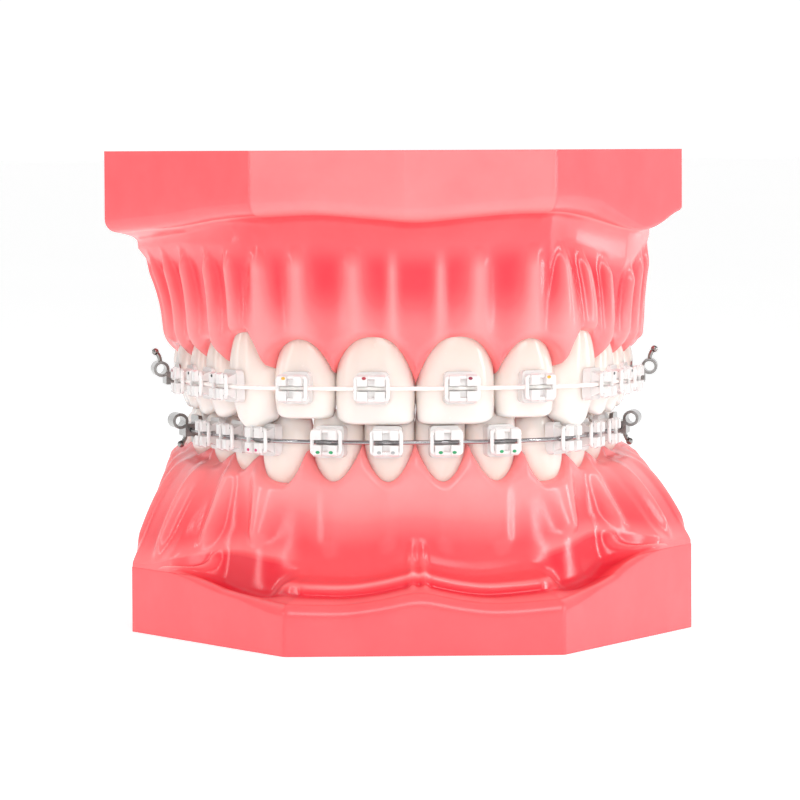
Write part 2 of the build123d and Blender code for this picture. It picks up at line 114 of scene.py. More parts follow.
class Jaw:
    """One jaw with its base down and its teeth up: the contact line in plan, its teeth and its base."""

    END_SEARCH = 20.0
    HALVINGS = 50

    def __init__(self, name, arcs, front, teeth, corners, flipped):
        self.name = name
        self.arcs = arcs
        self.front = front
        self.teeth = teeth
        self.outline = rounded(corners, CORNER_RADIUS)
        self.flipped = flipped
        self.edges = np.concatenate([[0.0], np.cumsum([tooth.width for tooth in teeth])])
        self.middles = (self.edges[1:] + self.edges[:-1]) / 2
        self.reach = self.edges[-1]

    def line(self, along):
        """Points of the contact line and the outward direction at signed lengths along it."""
        along = np.asarray(along, float)
        side = np.where(along < 0, -1.0, 1.0)
        left = np.abs(along)
        x = np.zeros_like(left)
        y = np.full_like(left, self.front)
        heading = np.zeros_like(left)
        for radius, turn in self.arcs:
            span = np.minimum(left, radius * math.radians(turn))
            after = heading + span / radius
            x = x + radius * (np.sin(after) - np.sin(heading))
            y = y + radius * (np.cos(heading) - np.cos(after))
            heading = after
            left = left - span
        x = x + left * np.cos(heading)
        y = y + left * np.sin(heading)
        turned = np.minimum(heading, math.pi / 2)
        points = np.stack([TOOTH_MIDLINE + side * x, y], -1)
        outward = np.stack([side * np.sin(turned), -np.cos(turned)], -1)
        return points, outward

    def end(self):
        """Length along the half arch where the contact line meets the back plane."""
        low = self.reach
        high = self.reach + self.END_SEARCH
        for _ in range(self.HALVINGS):
            middle = (low + high) / 2
            if self.line(middle)[0][1] < HALF_DEPTH:
                low = middle
            else:
                high = middle
        return low

    def room(self, along):
        """Distance from the contact line to the base's outline."""
        points, outward = self.line(along)
        start = self.outline[:-1]
        edge = self.outline[1:] - start
        cross = outward[:, None, 0] * edge[None, :, 1] - outward[:, None, 1] * edge[None, :, 0]
        cross = np.where(np.abs(cross) < TINY, TINY, cross)
        apart = start[None] - points[:, None]
        out = (apart[..., 0] * edge[None, :, 1] - apart[..., 1] * edge[None, :, 0]) / cross
        share = (apart[..., 0] * outward[:, None, 1] - apart[..., 1] * outward[:, None, 0]) / cross
        hit = (out > 0) & (share >= -SLACK) & (share <= 1 + SLACK)
        return np.where(hit, out, np.inf).min(1)

    def tooth_middle(self, index, side):
        """Point and outward direction at a tooth's middle."""
        return (value[0] for value in self.line(np.array([side * self.middles[index]])))

    def world(self, plan, height):
        """Points in metres from plan points and heights above this jaw's own base."""
        z = MODEL_HEIGHT - height if self.flipped else height
        return np.concatenate([plan, z[..., None]], -1) * MM


def outline(front, half_width, middle):
    """A base's outline about its middle, from one back corner round to the other."""
    half = [*front, (half_width, WIDEST_PLACE), (half_width - BACK_TAPER, HALF_DEPTH)]
    whole = [(-x, y) for x, y in reversed(half) if x > 0] + half
    return [(middle + x, y) for x, y in whole]


UPPER = Jaw("upper", UPPER_ARCS, FRONT_CONTACT, UPPER_TEETH,
            outline([(0, -HALF_DEPTH), (16.4, -25.1)], half_width=32.5, middle=-0.5), flipped=True)
LOWER = Jaw("lower", LOWER_ARCS, FRONT_CONTACT + OVERJET, LOWER_TEETH,
            outline([(15.0, -HALF_DEPTH)], half_width=31.6, middle=1.4), flipped=False)


# Meshes

WELD = 1e-6
QUAD = 4


def corner_tones(mesh, tone):
    """Tones of a mesh's points at the corners of its faces, even on its large flat faces."""
    corners = np.zeros(len(mesh.loops), np.int32)
    mesh.loops.foreach_get("vertex_index", corners)
    values = np.asarray(tone, np.float32)[corners]
    for polygon in mesh.polygons:
        if polygon.loop_total > QUAD:
            span = slice(polygon.loop_start, polygon.loop_start + polygon.loop_total)
            values[span] = values[span].mean()
    return values


def mesh_object(name, points, faces, material, tone, sharp=None):
    """A smooth mesh piece with a tone at each point and hard edges past an angle."""
    mesh = bpy.data.meshes.new(name)
    mesh.from_pydata([tuple(p) for p in points], [], [tuple(f) for f in faces])
    values = corner_tones(mesh, tone)
    shade = mesh.attributes.new("tone", "FLOAT", "CORNER")
    shade.data.foreach_set("value", values)
    work = bmesh.new()
    work.from_mesh(mesh)
    bmesh.ops.remove_doubles(work, verts=work.verts, dist=WELD)
    bmesh.ops.recalc_face_normals(work, faces=work.faces)
    for face in work.faces:
        face.smooth = len(face.verts) <= QUAD
        if not face.smooth:
            for edge in face.edges:
                edge.smooth = False
    if sharp is not None:
        for edge in work.edges:
            if len(edge.link_faces) == 2 and edge.calc_face_angle(0.0) > sharp:
                edge.smooth = False
    work.to_mesh(mesh)
    work.free()
    piece = bpy.data.objects.new(name, mesh)
    bpy.context.collection.objects.link(piece)
    mesh.materials.append(material)
    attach(piece, "root")
    return piece


def grid_faces(rows, columns, closed=False):
    """Faces of a grid of points, its rows closed into rings if wanted."""
    faces = []
    for row in range(rows - 1):
        here = row * columns
        above = here + columns
        for column in range(columns if closed else columns - 1):
            beside = (column + 1) % columns
            faces.append((here + column, here + beside, above + beside, above + column))
    return faces


def stack_faces(rings, around):
    """Faces of a stack of rings, closed at both ends."""
    faces = grid_faces(rings, around, closed=True)
    faces.append(tuple(range(around)))
    faces.append(tuple((rings - 1) * around + k for k in range(around)))
    return faces


def side_word(side):
    return "left" if side > 0 else "right"


# Teeth

# Sections from root to biting edge: half width, face and tongue reach as shares, squareness
CROWN_LEVELS = np.array([-.5, 0.0, .15, .35, .6, .82, 1.0])
CENTRAL = (
    (.50, .52, .52, 2.0), (.73, .88, .88, 2.2), (.86, .97, .87, 2.3), (.965, 1.0, .66, 2.5),
    (1.0, .96, .27, 2.8), (1.0, .87, -.04, 3.2), (.985, .74, -.24, 3.6))
LATERAL = (
    (.48, .52, .52, 2.0), (.70, .88, .88, 2.1), (.83, .97, .87, 2.2), (.95, 1.0, .66, 2.4),
    (1.0, .96, .27, 2.6), (1.0, .87, -.04, 2.9), (.95, .74, -.22, 3.2))
CANINE = (
    (.52, .55, .55, 2.0), (.74, .90, .90, 2.1), (.86, .98, .91, 2.2), (.97, 1.0, .82, 2.3),
    (1.0, .97, .52, 2.3), (.95, .88, .18, 2.2), (.84, .74, -.12, 2.1))
CHEEK = (
    (.58, .58, .58, 2.2), (.80, .87, .87, 2.4), (.90, .96, .95, 2.5), (.975, 1.0, 1.0, 2.7),
    (1.0, .96, .99, 2.8), (.97, .86, .90, 2.8), (.92, .72, .76, 2.8))
SHAPES = {"central_incisor": CENTRAL, "lateral_incisor": LATERAL, "canine": CANINE}
INCISORS = ("central_incisor", "lateral_incisor")

# Radius of the biting edge
CAP = {"central_incisor": .42, "lateral_incisor": .42, "canine": .5}
CHEEK_CAP = .75

# How far an incisor's corners fall below its edge, the one near the midline first
CENTRAL_CORNERS = (.35, .75)
UPPER_LATERAL_CORNERS = (.5, .8)
LOWER_LATERAL_CORNERS = (.3, .45)
NEAR_CURVE = 7
FAR_CURVE = 5

# A canine's cusp: fall to its sides, shift of its tip towards the midline, and bluntness
UPPER_CUSP_FALL = 2.3
LOWER_CUSP_FALL = .9
CUSP_SHIFT = .1
CUSP_BLUNT = .012
CUSP_TIP = .11

# Cheek teeth: the fissure's width as a share and its depth, and the falls to the ends, cusps and tongue
# A fade is the share lost where the fissure and the ends meet
FISSURE_WIDTH = .17
PREMOLAR_FISSURE = 1.5
PREMOLAR_FISSURE_FADE = .45
PREMOLAR_ENDS = .95
PREMOLAR_END_FADE = .35
PREMOLAR_TILT = .45
MOLAR_FISSURE = 1.25
MOLAR_FISSURE_FADE = .4
MOLAR_CUSPS = .4125
MOLAR_CUSP_FADE = .5
MOLAR_CUSP_PITCH = 1.02
MOLAR_TILT = .15
UPPER_FACE_CUSPS = 1.1
FACE_CUSP_REACH = .7

# Points of a tooth's mesh, what neighbours share at their contact, and the lobes on an incisor's face
AROUND = 56
BODY_LEVELS = np.concatenate([np.linspace(-.5, 0, 6)[:-1], np.linspace(0, 1, 30)])
CAP_STEPS = 6
TOP_STEPS = 8
CONTACT = .06
LOBE_DEPTH = .07
LOBES = .72

# The canines face forwards, turned about their own axes, and their gum is highest towards the midline
CANINE_TURN = {"upper": math.radians(22), "lower": math.radians(10)}
CANINE_ZENITH = -.42


def section(name, level):
    """A tooth's section at crown levels, from a smooth curve."""
    table = np.array(SHAPES.get(name, CHEEK))
    levels = CROWN_LEVELS
    slopes = np.gradient(table, levels, axis=0)
    level = np.clip(level, levels[0], levels[-1])
    index = np.clip(np.searchsorted(levels, level, "right") - 1, 0, len(levels) - 2)
    step = levels[index + 1] - levels[index]
    t = ((level - levels[index]) / step)[..., None]
    step = step[..., None]
    before = table[index]
    after = table[index + 1]
    return ((2 * t**3 - 3 * t**2 + 1) * before + (t**3 - 2 * t**2 + t) * step * slopes[index]
            + (-2 * t**3 + 3 * t**2) * after + (t**3 - t**2) * step * slopes[index + 1])


def incisor_drop(name, x, across, upper):
    """A straight edge with rounded corners."""
    near, far = CENTRAL_CORNERS
    if name == "lateral_incisor":
        near, far = UPPER_LATERAL_CORNERS if upper else LOWER_LATERAL_CORNERS
    return np.where(x < 0, near * across**NEAR_CURVE, far * across**FAR_CURVE)


def canine_drop(x, half, upper):
    """One blunt cusp."""
    from_tip = np.clip(np.abs(x / half + CUSP_SHIFT), 0, 1.2)
    fall = UPPER_CUSP_FALL if upper else LOWER_CUSP_FALL
    return fall * np.sqrt(from_tip**2 + CUSP_BLUNT) - CUSP_TIP * fall


def cheek_drop(name, x, y, half, face, tongue, across, upper):
    """Cusps beside a fissure, lower towards the tongue, and in the upper jaw higher towards the face."""
    middle = (face - tongue) / 2
    fissure = bell(y, middle, (face + tongue) * FISSURE_WIDTH)
    tilt = smooth(middle - y, 0, tongue)
    if upper:
        tilt = tilt - UPPER_FACE_CUSPS * smooth(y - middle, 0, FACE_CUSP_REACH * face)
    if name.endswith("premolar"):
        ends = PREMOLAR_ENDS * across**2 * (1 - PREMOLAR_END_FADE * fissure)
        groove = PREMOLAR_FISSURE * fissure * (1 - PREMOLAR_FISSURE_FADE * across**4)
        return ends + groove + PREMOLAR_TILT * tilt
    waves = 1 + np.cos(2 * math.pi * x / half / MOLAR_CUSP_PITCH)
    cusps = MOLAR_CUSPS * waves * (1 - MOLAR_CUSP_FADE * fissure)
    groove = MOLAR_FISSURE * fissure * (1 - MOLAR_FISSURE_FADE * across**6)
    return cusps + groove + MOLAR_TILT * tilt


def biting_drop(name, x, y, half, face, tongue, upper):
    """How far the biting surface lies below the tooth's highest level, x positive away from the midline."""
    across = np.clip(np.abs(x) / half, 0, 1.1)
    if name in INCISORS:
        return incisor_drop(name, x, across, upper)
    if name == "canine":
        return canine_drop(x, half, upper)
    return cheek_drop(name, x, y, half, face, tongue, across, upper)


def tooth_points(tooth, upper):
    """Rings of a tooth's points from its root to the middle of its top, and their levels."""
    name, width, face, tongue, margin, edge = tooth
    half = (width + CONTACT) / 2
    rise = edge - margin
    cap = CAP.get(name, CHEEK_CAP)
    angle = np.linspace(0, 2 * math.pi, AROUND, endpoint=False)
    cosine = np.cos(angle)
    sine = np.sin(angle)
    rings = []
    levels = []

    def ring(shape, inset, level, inward=1.0):
        side_share, face_share, tongue_share, square = shape
        to_face = face_share * face - inset
        to_tongue = tongue_share * tongue - inset
        middle = (to_face - to_tongue) / 2
        x = np.sign(cosine) * np.abs(cosine) ** (2 / square) * (side_share * half - inset) * inward
        y = np.sign(sine) * np.abs(sine) ** (2 / square) * np.where(sine > 0, to_face, to_tongue)
        y = middle + (y - middle) * inward
        top = rise - biting_drop(name, x, y, half, face, tongue, upper)
        if name in INCISORS:
            lobes = np.cos(x / half * 2 * math.pi * LOBES) * (sine > 0)
            y = y - LOBE_DEPTH * np.clip(level, 0, 1) * lobes * inward
        height = margin + (level * top if level > 0 else level * rise)
        rings.append(np.stack([x, y, np.broadcast_to(height, x.shape)], -1))
        levels.append(level)

    top_level = 1 - cap / rise
    for level in BODY_LEVELS:
        ring(section(name, level), 0.0, level * top_level if level > 0 else level)
    shape = section(name, 1.0)
    for k in range(1, CAP_STEPS + 1):
        turn = k / CAP_STEPS * math.pi / 2
        ring(shape, cap * (1 - math.cos(turn)), top_level + cap / rise * math.sin(turn))
    for k in range(1, TOP_STEPS):
        ring(shape, cap, 1.0, 1 - k / TOP_STEPS)
    return np.array(rings), np.array(levels)


def tooth_place(jaw, index, side):
    """A tooth's place in plan, its direction away from the midline and its facing direction."""
    point, outward = jaw.tooth_middle(index, side)
    turn = -side * CANINE_TURN[jaw.name] if jaw.teeth[index].name == "canine" else 0.0
    cosine = math.cos(turn)
    sine = math.sin(turn)
    facing = np.array([outward[0] * cosine - outward[1] * sine, outward[0] * sine + outward[1] * cosine])
    return point, side * np.array([-facing[1], facing[0]]), facing


def build_tooth(jaw, index, side, material):
    tooth = jaw.teeth[index]
    rings, levels = tooth_points(tooth, jaw.flipped)
    centre, tangent, normal = tooth_place(jaw, index, side)
    flat = rings.reshape(-1, 3)
    plan = centre + flat[:, :1] * tangent + flat[:, 1:2] * normal
    points = jaw.world(plan, flat[:, 2])
    faces = stack_faces(len(rings), AROUND)
    tone = np.clip(np.repeat(levels, AROUND), 0, 1)
    name = f"{jaw.name}_{side_word(side)}_{tooth.name}"
    piece = mesh_object(f"tooth_{name}", points, faces, material, tone)
    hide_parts(name)


# Gums

# Places are lengths along the arch from the midline, and heights are above the base
# papillae, hook: tips of the gum between the teeth, and how steeply the margin climbs to them
# ridges, canine_ridge: place, width and height of the root ridges, and the one that narrows most to the base
# rim, round: height of the trimmed face and radius of its edge by place
# foot, shelf: rise from the rim to the wall's foot in front and behind, and how far it leans out behind
# bow, roof: hollowness of the wall in front and behind, and height of the palate or the tongue's floor
# merge, front: where the wall runs out over the rim, and where its even front ends
# foot_painted_shade, flute_painted_shade, face_painted_shade: painted shade at the wall's foot, in its
# hollows and on the trimmed faces, front then sides, 0 to 1
# left_ before a name: the model's left side, where it differs
GUM = {
    "upper": dict(
        papillae=(25.3, 24.2, 23.7, 23.4, 23.2, 23.5, 23.7, 23.3),
        hook=(2.6, 2.2, 2.0, 2.0, 2.0, 2.0, 2.0),
        ridges=((2.3, .7, .25), (6.1, 1.35, .5), (11.7, 1.3, .6), (15.0, 1.2, .75), (18.2, .7, .6),
                (22.6, .8, .85), (29.2, .95, .9), (35.2, .9, .8), (40.5, .9, .8), (45.6, .9, .7),
                (50.4, .9, .6)),
        canine_ridge=3,
        rim=((0, 7.7), (3, 7.3), (9, 6.7), (14, 7.0), (18, 7.5), (25, 8.3), (35, 9.0), (48, 9.8), (70, 10.6)),
        left_rim=((0, 7.7), (3, 7.3), (9, 6.7), (14, 6.7), (18, 7.3), (24, 8.5), (28.5, 9.2), (32, 8.6),
                  (36, 7.0), (40, 6.6), (70, 6.4)),
        round=((0, 1.5), (70, 1.5)),
        left_round=((0, 1.5), (8, 1.5), (14, 2.0), (18, 1.9), (28, .6), (70, .5)),
        foot=(2.8, 1.5), left_foot=(2.8, 3.2), shelf=4.8, left_shelf=1.2, bow=(2.2, 2.3), roof=10.0,
        merge=None, front=None, foot_painted_shade=0.0, flute_painted_shade=.8, face_painted_shade=(.24, .56)),
    "lower": dict(
        papillae=(22.4, 22.3, 21.7, 21.2, 21.1, 21.4, 21.6, 21.2),
        hook=(2.0,) * 7,
        ridges=((2.7, 1.2, .3), (8.2, 1.2, .35), (14.9, 1.9, .75), (22.6, .95, .75), (29.0, .95, .7),
                (35.0, .95, .65), (40.0, .95, .65), (45.0, .95, .6), (49.8, .95, .55)),
        canine_ridge=2,
        rim=((0, 7.2), (1.5, 6.3), (5.5, 5.4), (10, 5.6), (14.5, 6.2), (18, 6.8), (22, 7.3), (70, 7.3)),
        left_rim=((0, 7.2), (1.5, 6.3), (5.5, 5.4), (10, 5.9), (14.5, 7.2), (18, 8.5), (22, 9.3), (28, 9.5),
                  (70, 9.4)),
        round=((0, 1.5), (10, 1.4), (13.5, .6), (70, .6)),
        foot=(4.0, .5), shelf=9.0, bow=(1.6, .55), roof=6.8,
        merge=(19, 27), front=(8, 14), foot_painted_shade=.5, flute_painted_shade=.35, face_painted_shade=(.52, .6)),
}

# Columns along the arch, and how much the rim's length and its turns draw them closer
COLUMNS = 640
FINE_STEPS = 6001
RIM_DRAW = .35
TURN_DRAW = .9
SHARPEST_TURN = .3

# Rows up the gum
FACE_STEPS = 9
EDGE_STEPS = 8
COVE_STEPS = 30
WALL_STEPS = 50
CREST_STEPS = 13
TONGUE_STEPS = 32
CURVE_DEGREE = 3
SHARP_EDGE = math.radians(50)

# Stretches along the arch over which the gum's form and its painted light and shade change
BACK_STRETCH = (14, 32)
SIDE_STRETCH = (10.2, 12.8)
ROLL_HIGHLIGHT_STRETCH = (7, 14)
LEFT_PAINTED_LIGHT_STRETCH = (15, 20)
BEHIND_TEETH = (-.5, 1.5)
TOOTH_BLUR = 2.0
LEVEL_BLUR = 3.0
RIM_BLUR = 1.6
LIP_BLUR = .25

# Gum on the teeth, between them and behind them, and the wall's thickness over the teeth's faces
LIP = .07
PAPILLA_REACH = 1.15
BEHIND_REACH = .9
WALL = .5
TOOTH_SHARE = .75
HALF_RING = 61

# The margin on the tongue's side: how much higher it lies and less it climbs, and its share of the tooth
INNER_RISE = .4
INNER_FALL = .6
INNER_SHARE = .93
CREST_RISE = .25

# The wall's foot: its distance from the faces, how late it leans out, and the room before it
FOOT_CLEAR = 1.2
SHELF_CURVE = 2.4
FRONT_ROOM = 1.0
BACK_ROOM = .6
LEAST_GAP = .03
MERGED_EDGE = .1

# Root ridges: share of their width at the foot, gain to the margin, and the hollows between
RIDGE_SPREAD = (.8, .35)
CANINE_SPREAD = (.5, .7)
HOLLOW = .3
EVEN_FRONT = .7
RIDGE_START = (0, .3)
RIDGE_FADE = (.75, 1.15)
RIDGE_FADED = .35
MARGIN_ROLL = 1.0
PAPILLA_ROLL = 2.8

# Two thin folds of the lip on the midline, as place and width, and one of the cheek that sweeps back
LIP_FOLDS = ((-.45, .3), (.6, .32))
LIP_FOLD = .5
LIP_FOLD_OUT = .6
LIP_FOLD_UP = .5
LIP_FOLD_WALL = .5
LIP_FOLD_START = (.05, .3)
LIP_FOLD_END = (0, .16)
CHEEK_FOLD = 21
CHEEK_SWEEP = 9
CHEEK_CURVE = 1.5
CHEEK_WIDTH = .5
CHEEK_OUT = .35
CHEEK_UP = .25
CHEEK_START = (.1, .3)

# Vestibules from rim to foot: share of the way in, height, and shares of the ledge and of the foot's rise
UPPER_COVE = ((0, 0, 0), (.12, .12, 0), (.35, .3, 0), (.70, .55, 0), (.95, 0, .42))
LOWER_LEDGE = (
    (0, 0, 0, 0), (.08, .10, 0, 0), (.20, .28, 0, 0), (.33, .42, 0, 0), (.41, 0, .5, 0), (.41, 0, 1.15, 0),
    (.43, 0, 1.8, 0), (.56, 0, 2.0, 0), (.85, .15, 2.1, 0), (.96, 0, 0, .7), (1.0, 0, 0, 1.0))
LOWER_GROOVE = (
    (0, 0, 0), (.10, -.05, 0), (.25, -.25, 0), (.40, -.45, 0), (.52, -.5, 0), (.64, -.45, 0), (.75, -.25, 0),
    (.85, 0, .1), (.92, 0, .35), (.97, 0, .7), (1.0, 0, 1.0))
LEDGE_ROOM = 4.0
LEAST_LEDGE = .2

# Painted shade in the crease under the ledge and painted highlight on the ledge's roll, as place and width on
# the way in
CREASE = (.40, .1)
ROLL = (.60, .06)

# Painted light and shade on the gum, as tones from 0 for lit to 1 for shaded, and the stretches over which
# they change
FRONT_FACING = (.6, .95)
EDGE_PAINTED_HIGHLIGHT = .12
UPPER_RIM_PAINTED_LIGHT = .2
COVE_PAINTED_SHADE = .58
COVE_START = (0, .3)
LEFT_COVE_PAINTED_LIGHT = .26
SIDE_COVE_PAINTED_LIGHT = .3
LEDGE_PAINTED_LIGHT = .22
LEDGE_PAINTED_SHADE = .36
LEDGE_START = (0, .35)
CREASE_PAINTED_SHADE = .45
ROLL_PAINTED_HIGHLIGHT = .45
GROOVE_PAINTED_SHADE = .6
GROOVE_DEEPER_PAINTED_SHADE = .4
GROOVE_START = (.05, .3)
MERGED_TONE = .4
LIP_FOLD_PAINTED_HIGHLIGHT = .5
CHEEK_FOLD_PAINTED_HIGHLIGHT = .4
RIDGE_PAINTED_LIGHT = .06
WALL_PAINTED_SHADE = .12
FLUTE_START = (-.4, .2)
FLUTE_FADE = (.4, .95)
FLUTE_FADED = .75
FOOT_FADE = (-.1, .75)
SIDE_FOOT_PAINTED_LIGHT = .6
RIDGE_FOOT_PAINTED_LIGHT = .4
CREST_TONE = .2
TONGUE_TONE = .4

# The tongue's side: where its middle line starts, and how it falls to the palate or the floor
MIDDLE_START = 15.0
MIDDLE_CLEAR = 6
MIDDLE_BEND = 2.5
TONGUE_CROWDING = 1.5
PALATE_REACH = .55
PALATE_CURVE = 1.6
FLOOR_START = .4
FLOOR_REACH = 3.3
FLOOR_BEND = 7


def columns(jaw):
    """Lengths along the whole arch for the gum's columns, closer where the base turns its corners."""
    end = jaw.end()
    along = np.linspace(-end, end, FINE_STEPS)
    points, outward = jaw.line(along)
    rim = points + outward * jaw.room(along)[:, None]
    step = np.linalg.norm(np.diff(rim, axis=0), axis=1)
    turn = np.abs(np.diff(np.arctan2(*np.gradient(rim, axis=0).T[::-1])))
    turn = np.minimum(turn, 2 * math.pi - turn)
    weight = np.diff(along) + RIM_DRAW * step + TURN_DRAW * np.minimum(turn, SHARPEST_TURN)
    total = np.concatenate([[0], np.cumsum(weight)])
    return np.interp(np.linspace(0, total[-1], COLUMNS), total, along)


def blur(values, along, width):
    """Values along the arch averaged with a bell-shaped window."""
    weight = bell(along[:, None], along[None], width) * np.gradient(along)[None]
    return weight @ values / weight.sum(1)


def curve_weights(controls, count):
    """Weights of a smooth curve's control points at even steps along it."""
    inner = np.linspace(0, 1, controls - CURVE_DEGREE + 1)
    knots = np.concatenate([np.zeros(CURVE_DEGREE), inner, np.ones(CURVE_DEGREE)])
    place = np.linspace(0, 1 - TINY, count)
    weights = [((knots[i] <= place) & (place < knots[i + 1])).astype(float) for i in range(len(knots) - 1)]
    for order in range(1, CURVE_DEGREE + 1):
        raised = []
        for i in range(len(knots) - order - 1):
            before = knots[i + order] - knots[i]
            after = knots[i + order + 1] - knots[i + 1]
            value = np.zeros(count)
            if before > 0:
                value = value + (place - knots[i]) / before * weights[i]
            if after > 0:
                value = value + (knots[i + order + 1] - place) / after * weights[i + 1]
            raised.append(value)
        weights = raised
    return np.array(weights).T


class Gum:
    """What the gum of one jaw measures at each of its columns along the arch."""

    def __init__(self, jaw):
        self.jaw = jaw
        self.form = form = GUM[jaw.name]
        self.along = along = columns(jaw)
        self.away = away = np.abs(along)
        self.left = along > 0
        self.points, self.outward = jaw.line(along)
        self.room = jaw.room(along)
        self.behind = smooth(away, jaw.reach + BEHIND_TEETH[0], jaw.reach + BEHIND_TEETH[1])
        self.back = back = smooth(away, *BACK_STRETCH)
        self.side = smooth(away, *SIDE_STRETCH)
        self.merge = smooth(away, *form["merge"]) if form["merge"] else np.zeros_like(away)
        self.front = 1 - smooth(away, *form["front"]) if form["front"] else np.zeros_like(away)

        self.face = self.tooth_size("face", TOOTH_BLUR)
        self.tongue = self.tooth_size("tongue", TOOTH_BLUR)
        self.level = self.tooth_size("margin", LEVEL_BLUR)
        self.across, self.top, self.inner_top = self.margins()
        self.lip = self.margin_reach()

        self.rim = blur(self.by_place("rim"), along, RIM_BLUR)
        self.rounding = self.by_place("round") * (1 + (MERGED_EDGE - 1) * self.merge)
        front_foot, back_foot = self.both_sides("foot")
        self.foot = self.rim + front_foot + (back_foot - front_foot) * back
        front_bow, back_bow = form["bow"]
        self.bow = front_bow + (back_bow - front_bow) * back
        out = self.face + FOOT_CLEAR + self.both_sides("shelf") * (away / jaw.reach) ** SHELF_CURVE
        out = out + (self.room - out) * self.merge
        spare = (FRONT_ROOM + (BACK_ROOM - FRONT_ROOM) * back) * (1 - self.merge)
        self.foot_out = np.minimum(out, self.room - self.rounding - spare - LEAST_GAP)

        # Painted shade in the vestibule, lighter on the upper jaw's left side and on the lower jaw's sides
        if jaw.flipped:
            self.folds = np.zeros_like(away)
            self.cove_painted_shade = COVE_PAINTED_SHADE - LEFT_COVE_PAINTED_LIGHT * smooth(along, *LEFT_PAINTED_LIGHT_STRETCH)
        else:
            self.folds = LIP_FOLD * sum(bell(along, place, width) for place, width in LIP_FOLDS)
            self.cove_painted_shade = COVE_PAINTED_SHADE - SIDE_COVE_PAINTED_LIGHT * self.side

    def tooth_size(self, name, width):
        """One of the teeth's sizes as an even curve along the arch."""
        values = [getattr(tooth, name) for tooth in self.jaw.teeth]
        return blur(np.interp(self.away, self.jaw.middles, values), self.along, width)

    def by_place(self, name):
        """A table of the form, by place and value, read along the arch."""
        return self.pick_side(name, lambda table: np.interp(self.away, *np.array(table).T))

    def both_sides(self, name):
        """A value of the form, or several, at each column."""
        return self.pick_side(name, lambda value: np.array(value)[..., None])

    def pick_side(self, name, read):
        right = self.form[name]
        left = self.form.get("left_" + name, right)
        return np.where(self.left, read(left), read(right))

    def margins(self):
        """Place across each tooth from the gum's highest point, and the margin's outer and inner height."""
        jaw = self.jaw
        index = np.clip(np.searchsorted(jaw.edges, self.away, "right") - 1, 0, len(jaw.teeth) - 1)
        width = np.array([tooth.width for tooth in jaw.teeth])[index]
        margin = np.array([tooth.margin for tooth in jaw.teeth])[index]
        canine = np.array([tooth.name == "canine" for tooth in jaw.teeth])[index]
        across = np.clip((self.away - jaw.middles[index]) / (width / 2), -1, 1)
        zenith = np.where(canine, CANINE_ZENITH, 0.0)
        across = (across - zenith) / np.where(across < zenith, 1 + zenith, 1 - zenith)
        tips = np.array(self.form["papillae"])
        tip = np.where(across < 0, tips[index], tips[index + 1])
        top = margin + (tip - margin) * np.abs(across) ** np.array(self.form["hook"])[index]
        inner_top = margin + INNER_RISE + (tip - margin - INNER_FALL) * across**2
        return across, top, inner_top

    def margin_reach(self):
        """How far out the gum's edge lies, on a tooth's face or on the papilla."""
        jaw = self.jaw
        angle = np.linspace(0, math.pi, HALF_RING)
        cosine = np.cos(angle)
        sine = np.sin(angle)
        along = np.stack([-self.outward[:, 1], self.outward[:, 0]], -1)
        hug = np.zeros_like(self.along)
        for index, tooth in enumerate(jaw.teeth):
            for side in (-1, 1):
                mine = np.abs(self.along - side * jaw.middles[index]) < tooth.width * TOOTH_SHARE
                levels = (self.top[mine] - tooth.margin) / (tooth.edge - tooth.margin)
                side_share, face_share, _, square = section(tooth.name, levels).T[..., None]
                x = np.sign(cosine) * np.abs(cosine) ** (2 / square) * side_share * tooth.width / 2
                y = np.abs(sine) ** (2 / square) * face_share * tooth.face
                centre, tangent, normal = tooth_place(jaw, index, side)
                plan = centre + x[..., None] * tangent + y[..., None] * normal - self.points[mine][:, None]
                across = (plan * along[mine][:, None]).sum(-1)
                out = (plan * self.outward[mine][:, None]).sum(-1)
                before = across[:, :-1]
                after = across[:, 1:]
                share = before / np.where(np.abs(before - after) < TINY, TINY, before - after)
                meet = out[:, :-1] + (out[:, 1:] - out[:, :-1]) * share
                meet = np.where(before * after <= 0, meet, 0.0).max(1)
                hug[mine] = np.maximum(hug[mine], meet)
        least = PAPILLA_REACH + (BEHIND_REACH - PAPILLA_REACH) * self.behind
        return blur(np.maximum(hug + LIP, least), self.along, LIP_BLUR)

    def ridges(self, share):
        """Height of the root ridges above the wall, and how near each point is to a ridge's top."""
        height = np.zeros_like(self.along)
        near = np.zeros_like(self.along)
        share = np.clip(share, 0, 1)
        for k, (place, width, rise) in enumerate(self.form["ridges"]):
            least, gain = CANINE_SPREAD if k == self.form["canine_ridge"] else RIDGE_SPREAD
            ridge = bell(self.away, place, width * (least + gain * share))
            height += rise * ridge
            near = np.maximum(near, ridge)
        return height, near

    def profile(self):
        """Rows of distance out, height and tone of painted light and shade, from the base's edge over the
        ridge.
        """
        yield from self.face_rows()
        yield from self.upper_cove() if self.jaw.flipped else self.lower_cove()
        yield from self.wall_rows()
        yield from self.crest_rows()

    def face_rows(self):
        """The base's trimmed face and its rounded edge, with painted shade darker on the side faces than on
        the front and a painted highlight along the edge.
        """
        front_tone, side_tone = self.form["face_painted_shade"]
        edge = np.gradient(self.points + self.outward * self.room[:, None], axis=0)
        facing_front = smooth(np.abs(edge[:, 0]) / np.linalg.norm(edge, axis=1), *FRONT_FACING)
        tone = side_tone + (front_tone - side_tone) * facing_front
        for t in np.linspace(0, 1, FACE_STEPS)[:-1]:
            yield self.room, t * (self.rim - self.rounding), tone
        for turn in np.linspace(0, math.pi / 2, EDGE_STEPS)[:-1]:
            out = self.room - self.rounding * (1 - math.cos(turn))
            height = self.rim - self.rounding * (1 - math.sin(turn))
            yield out, height, tone - EDGE_PAINTED_HIGHLIGHT * math.sin(turn) * (1 - self.merge)

